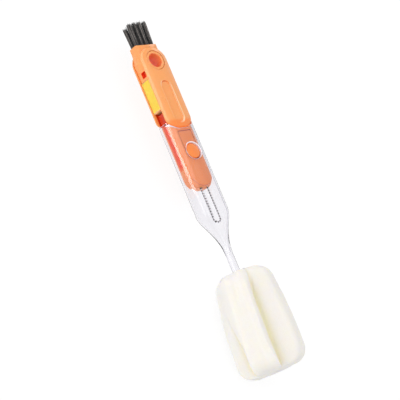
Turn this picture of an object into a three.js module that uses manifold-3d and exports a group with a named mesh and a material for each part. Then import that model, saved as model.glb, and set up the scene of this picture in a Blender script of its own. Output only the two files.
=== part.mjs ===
import * as THREE from 'three';
import { mergeVertices } from 'three/addons/utils/BufferGeometryUtils.js';
import Module from 'manifold-3d';

const wasm = await Module();
wasm.setup();

// A pocket cup brush, in millimetres. While it is drawn, X is measured along the brush from the swing pivot
// towards the foam, Y runs across it and Z points out of the front, the side with the button. The last lines
// move it to its frame.

// Fits
const clearance = 0.3;
const snug = 0.25;
const eps = 0.5;
const farOut = 400;

// The two scales, which are the plates that carry the pivot
const scaleWidth = 23.6;
const scaleThick = 2.6;
const scaleEnd = 54.1;
const scaleCorner = 9;
const rearCorner = 4.5;
const frontRound = 4.2;
const frontRoundDepth = 1.8;
const backRound = 3.6;
const backRoundDepth = 2.2;
const slotDepth = 9.6;

// The bare panel sunk in the front scale
const panelStart = 16.6;
const panelLength = 33;
const panelWidth = 8.4;
const panelSink = 0.7;

// The clear handle sleeve, its neck and its stem
const sleeveProud = 0.4;
const sleeveWall = 1.5;
const sleeveCorner = 5.5;
const rimLap = 5.9;
const loopRoom = 19.2;
const shoulderLength = 30.2;
const shoulderHaste = 0.7;
const stemShown = 15;
const stemRadius = 2.8;
const cavityTip = 1.2;
const cavityFloor = 1;
const barbRadius = 4;
const barbRise = 0.6;
const barbCount = 3;
const coreShort = 18.5;

// The lower part of the tool, which the sleeve holds
const insertGap = 0.4;
const insertLength = 46.5;
const plateShort = 0.6;
const partingAt = 2.2;
const rearSoft = 1.2;
const insertCorner = 10;
const channelLength = 29.9;
const channelDeep = 1.8;
const channelWide = 4.6;
const webLap = 0.5;
const webTuck = 12;

// The snap tongue and its button
const buttonDrop = 18.6;
const buttonRadius = 5.6;
const buttonSunk = 0.3;
const tongueBorder = 0.2;
const tongueThick = 1.6;
const tongueRoot = 2.3;
const tongueSlot = 0.4;
const pressRoom = 2.3;
const buttonHoleRoom = 0.9;

// The hollow pivot
const boreRadius = 5.55;
const eyeletWall = 1.25;
const eyeletLip = 0.7;
const eyeletLipThick = 0.9;
const ringWidth = 1.7;
const ringThick = 1;

// The swinging head
const hubRadius = 11.3;
const blockTop = 14.5;
const blockWidth = 19;
const headEdge = 1.1;
const shoulderEnd = 12.6;
const tangWidth = 14;
const tangThick = 3.8;
const tangEnd = 33;
const nickStart = 6;
const nickLength = 4.4;
const nickDeep = 3.2;
const nickLow = -0.7;

// The soft scraper on the tang
const scraperShy = 0.3;
const scraperEnd = 37.4;
const scraperCorner = 1.2;
const sweepRoom = 1.2;

// The bristles
const tuftColumns = 4;
const tuftPitch = 4.6;
const rowOffset = 2.2;
const tuftRadius = 1.6;
const strandPitch = 0.44;
const strandRadius = 0.15;
const bristleLength = 19;
const bristleRagged = 2.2;
const splayAcross = 0.4;
const splayDeep = 0.5;
const seatDeep = 1.2;
const seatBorder = 0.6;
const rootLength = 2.2;
const rootPinch = 0.4;
const anchorHeight = 0.9;
const anchorThick = 0.4;

// The twisted wire loop
const wireRadius = 0.33;
const legOffset = 2.8;
const loopReach = 26.2;
const wireGrip = 9;
const wireBedHalf = 0.9;
const wireLay = 2.4;
const hookLength = 2.4;

// The foam
const foamLength = 72.5;
const foamRadiusTop = 21;
const foamRadiusEnd = 25.5;
const foamRoundTop = 10;
const foamRoundEnd = 7;
const armTurn = 58 * Math.PI / 180;
const armHalf = 9.3;
const armCorner = 3.2;
const armCrown = 0.8;
const armNarrow = 0.45;
const grooveRound = 2.2;
const lieFlat = 0.5;

// The pins that line up the two shells
const pinRadius = 1.4;
const pinHeight = 1.4;
const pinFromEnd = 13.4;
const pinFromSide = 4.6;
const pinFromWeb = 4;

// Sizes that follow from those above
const scaleHalf = scaleWidth / 2;
const slotHalf = slotDepth / 2;
const faceZ = slotHalf + scaleThick;
const headHalf = slotHalf - clearance;
const sleeveHalfWidth = scaleHalf + sleeveProud;
const sleeveHalfDepth = faceZ + sleeveProud / 4;
const insertHalfWidth = sleeveHalfWidth - sleeveWall - insertGap;
const insertHalfDepth = sleeveHalfDepth - sleeveWall - insertGap;
const insertEnd = scaleEnd + insertLength;
const channelEnd = scaleEnd + channelLength;
const rimStart = scaleEnd - rimLap;
const shoulderStart = insertEnd + loopRoom;
const neckEnd = shoulderStart + shoulderLength;
const foamStart = neckEnd + stemShown;
const foamEnd = foamStart + foamLength;
const coreEnd = foamEnd - coreShort;
const barbPitch = (coreEnd - foamStart) / (barbCount + 1);
const loopTip = insertEnd + loopReach;
const wireRoot = insertEnd - wireGrip;
const insertRound = Math.max(sleeveCorner - sleeveWall - insertGap, 0.8);
const webHalf = slotHalf - clearance;
const channelHalf = Math.min(channelWide / 2, webHalf);
const barrelRadius = boreRadius + eyeletWall;
const pivotBore = barrelRadius + clearance;
const blockHalf = blockWidth / 2;
const scraperHalf = hubRadius - scraperShy;
const shoulderHalf = hubRadius - scraperShy;
const sweepRadius = Math.hypot(scraperEnd, scraperHalf - scraperCorner / 2) + sweepRoom;
const tongueHalf = buttonRadius + tongueBorder;
const buttonAt = scaleEnd + buttonDrop;
const tongueStart = scaleEnd + tongueRoot;
const tongueBack = insertHalfDepth - tongueThick;
const pocketFloor = Math.min(tongueBack - pressRoom, partingAt - clearance);

// Materials
function finish(colour, roughness, metalness) {
  return new THREE.MeshStandardMaterial({ color: colour, roughness, metalness });
}
const orange = finish(0xf59a55, 0.42, 0);
const clear = finish(0xe9ebf2, 0.08, 0);
const foam = finish(0xf4efdf, 0.95, 0);
const silicone = finish(0xf6cf55, 0.55, 0);
const nylon = finish(0x5d5856, 0.6, 0);
const steel = finish(0x55504e, 0.35, 1);

// A closed body that can be joined and cut, from a three.js geometry
function solid(geometry) {
  const bare = new THREE.BufferGeometry();
  bare.setAttribute('position', geometry.getAttribute('position'));
  if (geometry.index) {
    bare.setIndex(geometry.index);
  }
  const welded = mergeVertices(bare, 1e-4);
  return new wasm.Manifold(new wasm.Mesh({
    numProp: 3,
    vertProperties: new Float32Array(welded.attributes.position.array),
    triVerts: new Uint32Array(welded.index.array),
  }));
}

const group = new THREE.Group();

// A named mesh from a closed body
function put(name, body, material) {
  const data = body.getMesh();
  const geometry = new THREE.BufferGeometry();
  geometry.setAttribute('position', new THREE.BufferAttribute(new Float32Array(data.vertProperties), 3));
  geometry.setIndex(new THREE.BufferAttribute(new Uint32Array(data.triVerts), 1));
  const mesh = new THREE.Mesh(geometry, material);
  mesh.name = name;
  group.add(mesh);
}

// A plate with the outline of a shape in X and Y, from one height to another
function prism(shape, low, high, curveSegments) {
  const geometry = new THREE.ExtrudeGeometry(shape, { depth: high - low, bevelEnabled: false, curveSegments });
  geometry.translate(0, 0, low);
  return solid(geometry);
}

// The same plate with its upper edge rounded
function domed(shape, low, high, round, depth, curveSegments) {
  const tall = high - low + depth + eps;
  const geometry = new THREE.ExtrudeGeometry(shape, {
    depth: tall - 2 * depth,
    bevelEnabled: true,
    bevelThickness: depth,
    bevelSize: round,
    bevelOffset: -round,
    bevelSegments: 2,
    curveSegments,
  });
  geometry.translate(0, 0, high - tall + depth);
  return solid(geometry).subtract(box(-farOut, farOut, -farOut, farOut, low - farOut, low));
}

function box(x0, x1, y0, y1, z0, z1) {
  const geometry = new THREE.BoxGeometry(x1 - x0, y1 - y0, z1 - z0);
  geometry.translate((x0 + x1) / 2, (y0 + y1) / 2, (z0 + z1) / 2);
  return solid(geometry);
}

// A round bar that stands along Z
function post(x, y, radius, low, high, sides) {
  const geometry = new THREE.CylinderGeometry(radius, radius, high - low, sides);
  geometry.rotateX(Math.PI / 2);
  geometry.translate(x, y, (low + high) / 2);
  return solid(geometry);
}

// A round bar that lies along X
function bar(x0, x1, y, z, radius, sides) {
  const geometry = new THREE.CylinderGeometry(radius, radius, x1 - x0, sides);
  geometry.rotateZ(Math.PI / 2);
  geometry.translate((x0 + x1) / 2, y, z);
  return solid(geometry);
}

// A turned body about Z, from a closed list of radius and height
function turnedZ(profile, sides) {
  const points = profile.map(([radius, height]) => new THREE.Vector2(radius, height));
  const geometry = new THREE.LatheGeometry(points, sides);
  geometry.rotateX(Math.PI / 2);
  return solid(geometry);
}

// A turned body about X, from a list of radius and station that starts and ends on the axis
function turnedX(profile, sides) {
  const points = profile.map(([radius, station]) => new THREE.Vector2(radius, station));
  const geometry = new THREE.LatheGeometry(points, sides);
  geometry.rotateZ(-Math.PI / 2);
  return solid(geometry);
}

// Outline with a full round at the pivot and two rounded corners at the far end
function scaleOutline(half, end, corner) {
  const shape = new THREE.Shape();
  const soft = Math.min(corner, half - 0.1);
  shape.absarc(0, 0, half, Math.PI / 2, 3 * Math.PI / 2, false);
  shape.lineTo(end - soft, -half);
  shape.absarc(end - soft, -half + soft, soft, -Math.PI / 2, 0, false);
  shape.lineTo(end, half - soft);
  shape.absarc(end - soft, half - soft, soft, 0, Math.PI / 2, false);
  return shape;
}

// Outline that starts square and has two rounded corners at the far end
function blockOutline(start, end, half, corner) {
  const shape = new THREE.Shape();
  const soft = Math.min(corner, half - 0.1);
  shape.moveTo(start, half);
  shape.lineTo(start, -half);
  shape.lineTo(end - soft, -half);
  shape.absarc(end - soft, -half + soft, soft, -Math.PI / 2, 0, false);
  shape.lineTo(end, half - soft);
  shape.absarc(end - soft, half - soft, soft, 0, Math.PI / 2, false);
  return shape;
}

// Outline with both ends fully round
function racetrack(start, end, half) {
  const shape = new THREE.Shape();
  shape.absarc(start + half, 0, half, Math.PI / 2, 3 * Math.PI / 2, false);
  shape.absarc(end - half, 0, half, -Math.PI / 2, Math.PI / 2, false);
  return shape;
}

// Points round a rounded rectangle in Y and Z
function sectionPoints(halfWidth, halfDepth, corner, perCorner) {
  const points = [];
  const radius = Math.min(corner, halfWidth, halfDepth);
  for (let quarter = 0; quarter < 4; quarter += 1) {
    const sideY = quarter === 0 || quarter === 3 ? 1 : -1;
    const sideZ = quarter < 2 ? 1 : -1;
    for (let step = 0; step <= perCorner; step += 1) {
      const angle = (quarter + step / perCorner) * Math.PI / 2;
      const y = sideY * (halfWidth - radius) + radius * Math.cos(angle);
      const z = sideZ * (halfDepth - radius) + radius * Math.sin(angle);
      points.push([y, z]);
    }
  }
  return points;
}

// A closed body through sections that stand across X
function loft(rings) {
  const count = rings[0].points.length;
  const positions = [];
  const indices = [];
  for (const ring of rings) {
    for (const [y, z] of ring.points) {
      positions.push(ring.x, y, z);
    }
  }
  for (let r = 0; r + 1 < rings.length; r += 1) {
    for (let i = 0; i < count; i += 1) {
      const a = r * count + i;
      const b = r * count + (i + 1) % count;
      indices.push(a, b, a + count);
      indices.push(b, b + count, a + count);
    }
  }
  const first = positions.length / 3;
  positions.push(rings[0].x, 0, 0);
  const last = first + 1;
  positions.push(rings[rings.length - 1].x, 0, 0);
  const lastRing = (rings.length - 1) * count;
  for (let i = 0; i < count; i += 1) {
    const next = (i + 1) % count;
    indices.push(first, next, i);
    indices.push(last, lastRing + i, lastRing + next);
  }
  const geometry = new THREE.BufferGeometry();
  geometry.setAttribute('position', new THREE.Float32BufferAttribute(positions, 3));
  geometry.setIndex(indices);
  return solid(geometry);
}

// An even spread of small numbers from 0 to 1 that is the same on every run
function scatter(index) {
  const value = Math.sin(index * 12.9898 + 4.1414) * 43758.5453;
  return value - Math.floor(value);
}

// Clear handle: sleeve, shoulder, neck and barbed stem in one moulding
function shoulderShare(x) {
  const along = Math.min(Math.max((x - shoulderStart) / (neckEnd - shoulderStart), 0), 1);
  const eased = Math.sin(Math.PI / 2 * Math.pow(along, shoulderHaste));
  return eased * eased;
}

function sleeveRing(x, inset) {
  const share = shoulderShare(x);
  const width = sleeveHalfWidth + (stemRadius - sleeveHalfWidth) * share;
  const depth = sleeveHalfDepth + (stemRadius - sleeveHalfDepth) * share;
  const corner = sleeveCorner + (stemRadius - sleeveCorner) * share;
  const halfWidth = Math.max(width - inset, cavityTip);
  const halfDepth = Math.max(depth - inset, cavityTip);
  return { x, points: sectionPoints(halfWidth, halfDepth, Math.max(corner - inset, cavityTip), 6) };
}

const shoulderSteps = [0, 0.1, 0.2, 0.3, 0.42, 0.55, 0.7, 0.85, 1];
const shoulderStations = shoulderSteps.map((share) => shoulderStart + share * (neckEnd - shoulderStart));
const outerRings = [rimStart, ...shoulderStations].map((x) => sleeveRing(x, 0));
const cavityStations = [rimStart - eps, ...shoulderStations.slice(0, -1), neckEnd - cavityFloor];
const cavityRings = cavityStations.map((x) => sleeveRing(x, sleeveWall));
const stemProfile = [[0, neckEnd - eps], [stemRadius, neckEnd - eps]];
const boreProfile = [[0, foamStart - eps], [stemRadius + clearance, foamStart - eps]];
for (let barb = 1; barb <= barbCount; barb += 1) {
  const foot = foamStart + barb * barbPitch;
  stemProfile.push([stemRadius, foot - barbPitch / 3]);
  stemProfile.push([barbRadius, foot - barbPitch / 3 + barbRise]);
  stemProfile.push([stemRadius, foot]);
  boreProfile.push([stemRadius + clearance, foot - barbPitch / 3 - clearance]);
  boreProfile.push([barbRadius + clearance, foot - barbPitch / 3 + barbRise]);
  boreProfile.push([stemRadius + clearance, foot + clearance]);
}
stemProfile.push([stemRadius, coreEnd - 2], [1, coreEnd], [0, coreEnd]);
boreProfile.push([stemRadius + clearance, coreEnd + clearance], [0, coreEnd + clearance]);
const rimOutline = scaleOutline(scaleHalf + insertGap, scaleEnd + insertGap, scaleCorner + insertGap);
const rimCutLow = sleeveHalfDepth - sleeveCorner;
let handle = loft(outerRings).subtract(loft(cavityRings)).add(turnedX(stemProfile, 14));
handle = handle.subtract(prism(rimOutline, rimCutLow, sleeveHalfDepth + eps, 14));
const buttonHole = post(buttonAt, 0, buttonRadius + buttonHoleRoom, rimCutLow, sleeveHalfDepth + eps, 36);
handle = handle.subtract(buttonHole);
put('clear_handle', handle, clear);

// Foam head round the stem: a cross of four arms with soft corners, and deep grooves between them
function foamFull(x) {
  const share = Math.min((x - foamStart) / (0.75 * (foamEnd - foamStart)), 1);
  return foamRadiusTop + (foamRadiusEnd - foamRadiusTop) * Math.sin(share * Math.PI / 2);
}

function foamRadius(x) {
  const fromTop = Math.max(foamRoundTop - (x - foamStart), 0);
  const fromEnd = Math.max(foamRoundEnd - (foamEnd - x), 0);
  const dropTop = foamRoundTop - Math.sqrt(foamRoundTop ** 2 - fromTop ** 2);
  const dropEnd = foamRoundEnd - Math.sqrt(foamRoundEnd ** 2 - fromEnd ** 2);
  return foamFull(x) - dropTop - dropEnd;
}

// One arm's outline from the groove before it to the groove after it, as distance along and across the arm
function armOutline(radius, share) {
  const half = armHalf * (1 - armNarrow * (1 - share));
  const corner = armCorner * share;
  const inner = grooveRound * share;
  const flat = half - corner;
  const tip = radius - armCrown * share;
  const outline = [];
  for (const turn of [Math.PI, 3 * Math.PI / 4, Math.PI / 2]) {
    outline.push([half + inner + inner * Math.cos(turn), -half - inner + inner * Math.sin(turn)]);
  }
  for (const turn of [90, 60, 30]) {
    const angle = turn * Math.PI / 180;
    outline.push([tip - corner + corner * Math.cos(angle), -flat - corner * Math.sin(angle)]);
  }
  for (const place of [-1, -0.5, 0, 0.5, 1]) {
    outline.push([tip + (radius - tip) * (1 - place * place), flat * place]);
  }
  for (const turn of [30, 60, 90]) {
    const angle = turn * Math.PI / 180;
    outline.push([tip - corner + corner * Math.cos(angle), flat + corner * Math.sin(angle)]);
  }
  return outline;
}

function foamRing(x) {
  const radius = foamRadius(x);
  const outline = armOutline(radius, radius / foamFull(x));
  const points = [];
  for (let arm = 0; arm < 4; arm += 1) {
    const turn = armTurn + arm * Math.PI / 2;
    for (const [along, across] of outline) {
      const y = -along * Math.sin(turn) - across * Math.cos(turn);
      points.push([y, along * Math.cos(turn) - across * Math.sin(turn)]);
    }
  }
  return { x, points };
}

const foamStations = [0, 0.08, 0.25, 0.55, 1].map((share) => foamStart + share * foamRoundTop);
for (const share of [0.2, 0.45, 0.7]) {
  foamStations.push(foamStart + foamRoundTop + share * (foamEnd - foamRoundEnd - foamStart - foamRoundTop));
}
for (const share of [1, 0.55, 0.25, 0.08, 0]) {
  foamStations.push(foamEnd - share * foamRoundEnd);
}
const foamRings = foamStations.map(foamRing);
const foamLow = Math.min(...foamRings.flatMap((ring) => ring.points.map(([, z]) => z)));
const foamFlat = box(foamStart, foamEnd, -foamRadiusEnd, foamRadiusEnd, foamLow - eps, foamLow + lieFlat);
put('foam_head', loft(foamRings).subtract(turnedX(boreProfile, 12)).subtract(foamFlat), foam);

// Front and rear shells of the tool: a scale above, half of the insert below
const frontScale = scaleOutline(scaleHalf, scaleEnd, scaleCorner);
const rearScale = scaleOutline(scaleHalf, rimStart - insertGap, rearCorner);
const webStart = sweepRadius - webTuck;
const frontInsert = blockOutline(webStart, insertEnd - plateShort, insertHalfWidth, insertCorner);
const rearInsert = blockOutline(webStart, insertEnd, insertHalfWidth, insertCorner);
const sweep = post(0, 0, sweepRadius, -slotHalf, slotHalf, 72);
const partingHalf = clearance / 2;

function sideChannel(side, end, half) {
  const floor = insertHalfWidth - channelDeep;
  const shape = new THREE.Shape();
  const soft = channelDeep;
  shape.moveTo(webStart, side * floor);
  shape.lineTo(end - soft, side * floor);
  shape.quadraticCurveTo(end, side * floor, end, side * (floor + soft));
  shape.lineTo(end, side * (scaleHalf + eps));
  shape.lineTo(webStart, side * (scaleHalf + eps));
  return prism(shape, -half, half, 6);
}

const channels = [-1, 1]
  .map((side) => sideChannel(side, rimStart + webLap, webHalf).add(sideChannel(side, channelEnd, channelHalf)))
  .reduce((all, next) => all.add(next));
const wireBedWide = legOffset + hookLength + clearance;
const wireBed = box(
  wireRoot - wireBedHalf, wireRoot + wireBedHalf,
  -wireBedWide, wireBedWide,
  partingAt - wireBedHalf, partingAt + wireBedHalf,
);
const wireWay = 2 * wireRadius + clearance;
const wireWays = bar(wireRoot, insertEnd + eps, legOffset, partingAt, wireWay, 12)
  .add(bar(wireRoot, insertEnd + eps, -legOffset, partingAt, wireWay, 12));
const pinSide = insertHalfWidth - pinFromSide;
const pinLow = insertEnd - pinFromEnd;
const pinSpots = [[sweepRadius + pinFromWeb, 0], [pinLow, pinSide], [pinLow, -pinSide]];

function halfShell(scale, round, depth, insert, low, soft) {
  const plate = domed(scale, slotHalf, faceZ, round, depth, 12);
  const lower = domed(insert, low, insertHalfDepth, soft, soft, 10).subtract(sweep);
  return lower.add(plate).subtract(channels);
}

function tongueShape(grow) {
  const shape = new THREE.Shape();
  const half = tongueHalf + grow;
  shape.moveTo(tongueStart - (grow ? clearance : 0), half);
  shape.lineTo(tongueStart - (grow ? clearance : 0), -half);
  shape.absarc(buttonAt, 0, half, -Math.PI / 2, Math.PI / 2, false);
  return shape;
}

const lipRadius = barrelRadius + eyeletLip;
const ringOuter = barrelRadius + snug + ringWidth;
const frontLow = partingAt + partingHalf;
const rearLow = partingHalf - partingAt;
let front = halfShell(frontScale, frontRound, frontRoundDepth, frontInsert, frontLow, insertRound);
front = front.subtract(post(0, 0, pivotBore, 0, faceZ + eps, 32));
front = front.subtract(post(0, 0, lipRadius + clearance, faceZ - eyeletLipThick - clearance, faceZ + eps, 32));
const panelShape = racetrack(panelStart, panelStart + panelLength, panelWidth / 2);
front = front.subtract(prism(panelShape, faceZ - panelSink, faceZ + eps, 10));
front = front.subtract(prism(tongueShape(tongueSlot), pocketFloor, insertHalfDepth + eps, 20));
let rearFacing = halfShell(rearScale, backRound, backRoundDepth, rearInsert, rearLow, insertRound + rearSoft);
rearFacing = rearFacing.subtract(post(0, 0, pivotBore, 0, faceZ + eps, 32));
const ringFloor = faceZ - eyeletLipThick - ringThick - clearance;
rearFacing = rearFacing.subtract(post(0, 0, ringOuter + clearance, ringFloor, faceZ + eps, 32));
let rear = rearFacing.rotate([180, 0, 0]);
front = front.subtract(wireBed).subtract(wireWays);
rear = rear.subtract(wireBed).subtract(wireWays);
rear = rear.subtract(prism(tongueShape(tongueSlot), pocketFloor, partingAt, 20));
for (const [x, y] of pinSpots) {
  const pinTop = partingAt + pinHeight;
  front = front.subtract(post(x, y, pinRadius + clearance, partingAt, pinTop + clearance, 12));
  rear = rear.add(post(x, y, pinRadius, -rearLow - eps, pinTop, 12));
}
put('front_shell', front, orange);
put('rear_shell', rear, orange);

// Snap tongue with the round button on it
const buttonTop = sleeveHalfDepth - buttonSunk;
const buttonCircle = new THREE.Shape();
buttonCircle.absarc(buttonAt, 0, buttonRadius, 0, 2 * Math.PI, false);
const tongue = prism(tongueShape(0), tongueBack, insertHalfDepth, 20)
  .add(domed(buttonCircle, insertHalfDepth - 0.4, buttonTop, 0.8, 0.6, 20));
put('latch_tongue', tongue, orange);

// Hollow pivot and the ring that keeps it in
const eyeletTop = faceZ - 0.1;
const eyeletLow = -eyeletTop;
const ringTop = -faceZ + eyeletLipThick + ringThick;
put('pivot_eyelet', turnedZ([
  [boreRadius + 0.3, eyeletLow],
  [lipRadius - 0.3, eyeletLow],
  [lipRadius, eyeletLow + 0.3],
  [lipRadius, eyeletLow + eyeletLipThick - 0.3],
  [barrelRadius, eyeletLow + eyeletLipThick],
  [barrelRadius, eyeletTop - eyeletLipThick],
  [lipRadius, eyeletTop - eyeletLipThick],
  [lipRadius, eyeletTop - 0.3],
  [lipRadius - 0.3, eyeletTop],
  [boreRadius + 0.4, eyeletTop],
  [boreRadius, eyeletTop - 0.4],
  [boreRadius, eyeletLow + 0.3],
  [boreRadius + 0.3, eyeletLow],
], 32), orange);
put('eyelet_ring', turnedZ([
  [barrelRadius + snug, ringTop - ringThick + clearance],
  [ringOuter, ringTop - ringThick + clearance],
  [ringOuter, ringTop],
  [barrelRadius + snug, ringTop],
  [barrelRadius + snug, ringTop - ringThick + clearance],
], 32), orange);

// Swinging head: hub, bristle block and tang
const headShape = new THREE.Shape();
const hubLeave = 112 * Math.PI / 180;
headShape.moveTo(-blockTop, -blockHalf);
headShape.lineTo(-blockTop * 0.75, -blockHalf);
const leaveX = hubRadius * Math.cos(hubLeave);
const leaveY = hubRadius * Math.sin(hubLeave);
headShape.quadraticCurveTo(-blockHalf, -blockHalf, leaveX, -leaveY);
headShape.absarc(0, 0, hubRadius, -hubLeave, -Math.PI / 2 + 0.2, false);
headShape.lineTo(shoulderEnd * 0.4, -shoulderHalf);
headShape.lineTo(shoulderEnd, -shoulderHalf);
headShape.lineTo(shoulderEnd, shoulderHalf);
headShape.lineTo(shoulderEnd * 0.4, shoulderHalf);
headShape.absarc(0, 0, hubRadius, Math.PI / 2 - 0.2, hubLeave, false);
headShape.quadraticCurveTo(-blockHalf, blockHalf, -blockTop * 0.75, blockHalf);
headShape.lineTo(-blockTop, blockHalf);
const seatHalfWidth = blockHalf - seatBorder;
const seatHalfDepth = headHalf - seatBorder;
const seatFloor = -blockTop + seatDeep;
const sliceTop = -blockTop + 0.1;
const sliceLow = seatFloor - clearance;
const rootEnd = seatFloor + rootLength;
const anchorEnd = rootEnd + clearance + anchorHeight;
const rootRadius = tuftRadius - rootPinch;
const headFront = domed(headShape, 0, headHalf, headEdge, headEdge, 12);
let head = headFront.add(headFront.rotate([180, 0, 0]));
head = head.add(box(shoulderEnd - 1, tangEnd, -tangWidth / 2, tangWidth / 2, -tangThick / 2, tangThick / 2));
head = head.subtract(post(0, 0, pivotBore, -faceZ, faceZ, 32));
head = head.subtract(box(
  -blockTop - eps, seatFloor,
  -seatHalfWidth, seatHalfWidth,
  -seatHalfDepth, seatHalfDepth,
));
head = head.subtract(box(
  nickStart, nickStart + nickLength,
  -hubRadius - eps, -hubRadius + nickDeep,
  nickLow, headHalf + eps,
));
const tuftSpots = [];
const lastTuft = (tuftColumns - 1) / 2 * tuftPitch;
for (const row of [1, -1]) {
  for (let column = 0; column < tuftColumns; column += 1) {
    tuftSpots.push({ row, y: column * tuftPitch - lastTuft, z: row * rowOffset });
  }
}
for (const spot of tuftSpots) {
  head = head.subtract(bar(seatFloor - eps, anchorEnd + clearance, spot.y, spot.z, rootRadius + clearance, 10));
}
put('swing_head', head, orange);

// Soft scraper drawn over the tang
const scraperShape = blockOutline(shoulderEnd + clearance, scraperEnd, scraperHalf, scraperCorner);
const tangRoom = box(
  shoulderEnd, tangEnd + clearance,
  -tangWidth / 2 - clearance, tangWidth / 2 + clearance,
  -tangThick / 2 - clearance, tangThick / 2 + clearance,
);
put('silicone_scraper', prism(scraperShape, -headHalf + 0.1, headHalf - 0.1, 6).subtract(tangRoom), silicone);

// Bristles: two rows of tufts, each row fused to a slice of its backing with the folded roots below it
function strandBody(spots) {
  const positions = [];
  const indices = [];
  let serial = 0;
  for (const spot of spots) {
    const reach = Math.ceil(tuftRadius / strandPitch) + 1;
    for (let i = -reach; i <= reach; i += 1) {
      for (let j = -reach; j <= reach; j += 1) {
        const gridY = (i + 0.5 * (j % 2 === 0 ? 0 : 1)) * strandPitch;
        const gridZ = j * strandPitch * 0.866;
        if (Math.hypot(gridY, gridZ) > tuftRadius - strandRadius) {
          continue;
        }
        serial += 1;
        const dy = gridY + strandPitch * 0.12 * (scatter(serial + 700) - 0.5);
        const dz = gridZ + strandPitch * 0.12 * (scatter(serial + 1400) - 0.5);
        const turn = 2 * Math.PI * scatter(serial + 2100);
        const length = bristleLength - bristleRagged * scatter(serial + 31 * spot.row);
        const first = positions.length / 3;
        for (const end of [0, 1]) {
          const x = end === 0 ? sliceLow - 0.4 : sliceTop - length;
          const spreadY = end === 0 ? 1 : 1 + splayAcross / lastTuft;
          const spreadZ = end === 0 ? 1 : 1 + splayDeep / rowOffset;
          const radius = end === 0 ? strandRadius : strandRadius * 0.8;
          for (let corner = 0; corner < 3; corner += 1) {
            const angle = corner * 2 * Math.PI / 3 + turn;
            const y = (spot.y + dy) * spreadY + radius * Math.cos(angle);
            const z = (spot.z + dz) * spreadZ + radius * Math.sin(angle);
            positions.push(x, y, z);
          }
        }
        indices.push(first, first + 1, first + 2);
        indices.push(first + 3, first + 5, first + 4);
        for (let corner = 0; corner < 3; corner += 1) {
          const next = (corner + 1) % 3;
          indices.push(first + corner, first + 3 + corner, first + next);
          indices.push(first + next, first + 3 + corner, first + 3 + next);
        }
      }
    }
  }
  const geometry = new THREE.BufferGeometry();
  geometry.setAttribute('position', new THREE.Float32BufferAttribute(positions, 3));
  geometry.setIndex(indices);
  return solid(geometry);
}

function bristleRow(row) {
  const spots = tuftSpots.filter((spot) => spot.row === row);
  const inner = row * partingHalf;
  const outer = row * (seatHalfDepth - clearance);
  const wide = seatHalfWidth - clearance;
  let body = box(sliceTop, sliceLow, -wide, wide, Math.min(inner, outer), Math.max(inner, outer));
  for (const spot of spots) {
    body = body.add(bar(sliceLow - 0.3, rootEnd, spot.y, spot.z, rootRadius, 8));
  }
  return body.add(strandBody(spots));
}
put('bristles_front_row', bristleRow(1), nylon);
put('bristles_rear_row', bristleRow(-1), nylon);
tuftSpots.forEach((spot, index) => {
  const half = rootRadius - 0.15;
  const staple = box(
    rootEnd + clearance, anchorEnd,
    spot.y - half, spot.y + half,
    spot.z - anchorThick / 2, spot.z + anchorThick / 2,
  );
  put(`tuft_anchor_${index + 1}`, staple, steel);
});

// Twisted wire loop: a pair of strands laid round each other along a hairpin, with hooked ends in the shells
function wirePath(distance) {
  const straight = loopTip - 2 * wireRadius - legOffset - wireRoot;
  const arc = Math.PI * legOffset;
  if (distance < straight) {
    return { x: wireRoot + distance, y: -legOffset, dirX: 1, dirY: 0 };
  }
  if (distance < straight + arc) {
    const angle = (distance - straight) / legOffset;
    return {
      x: wireRoot + straight + legOffset * Math.sin(angle),
      y: -legOffset * Math.cos(angle),
      dirX: Math.cos(angle),
      dirY: Math.sin(angle),
    };
  }
  return { x: wireRoot + straight - (distance - straight - arc), y: legOffset, dirX: -1, dirY: 0 };
}

function wireBody() {
  const total = 2 * (loopTip - 2 * wireRadius - legOffset - wireRoot) + Math.PI * legOffset;
  const steps = Math.round(total / (wireLay / 6));
  const waist = 0.55;
  const half = [[2, 0], [1.5, 0.87], [0, waist], [-1.5, 0.87]];
  const outline = [...half, ...half.map(([u, v]) => [-u, -v])];
  const positions = [];
  const indices = [];
  const count = outline.length;
  for (let step = 0; step <= steps; step += 1) {
    const distance = total * step / steps;
    const at = wirePath(distance);
    const twist = 2 * Math.PI * distance / wireLay;
    for (const [u, v] of outline) {
      const across = wireRadius * (u * Math.cos(twist) - v * Math.sin(twist));
      const up = wireRadius * (u * Math.sin(twist) + v * Math.cos(twist));
      positions.push(at.x - at.dirY * across, at.y + at.dirX * across, partingAt + up);
    }
  }
  for (let step = 0; step < steps; step += 1) {
    for (let i = 0; i < count; i += 1) {
      const a = step * count + i;
      const b = step * count + (i + 1) % count;
      indices.push(a, b, a + count);
      indices.push(b, b + count, a + count);
    }
  }
  const lastRing = steps * count;
  const caps = [[0, 1, 7], [1, 2, 7], [2, 6, 7], [2, 3, 6], [3, 5, 6], [3, 4, 5]];
  for (const [a, b, c] of caps) {
    indices.push(a, c, b);
    indices.push(lastRing + a, lastRing + b, lastRing + c);
  }
  const geometry = new THREE.BufferGeometry();
  geometry.setAttribute('position', new THREE.Float32BufferAttribute(positions, 3));
  geometry.setIndex(indices);
  return solid(geometry);
}

let wire = wireBody();
for (const side of [-1, 1]) {
  const inner = side * (legOffset - wireRadius);
  const outer = side * (legOffset + hookLength);
  wire = wire.add(box(
    wireRoot - wireRadius, wireRoot + wireRadius,
    Math.min(inner, outer), Math.max(inner, outer),
    partingAt - wireRadius, partingAt + wireRadius,
  ));
}
put('wire_loop', wire, steel);

// Put the origin under the middle of the whole brush, on the floor it lies on
const bounds = new THREE.Box3().setFromObject(group);
const middle = bounds.getCenter(new THREE.Vector3());
for (const mesh of group.children) {
  mesh.geometry.translate(-middle.x, -middle.y, -bounds.min.z);
}

export default group;
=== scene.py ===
import math
import random

import bmesh
import bpy
from mathutils import Matrix, Vector, noise


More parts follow.
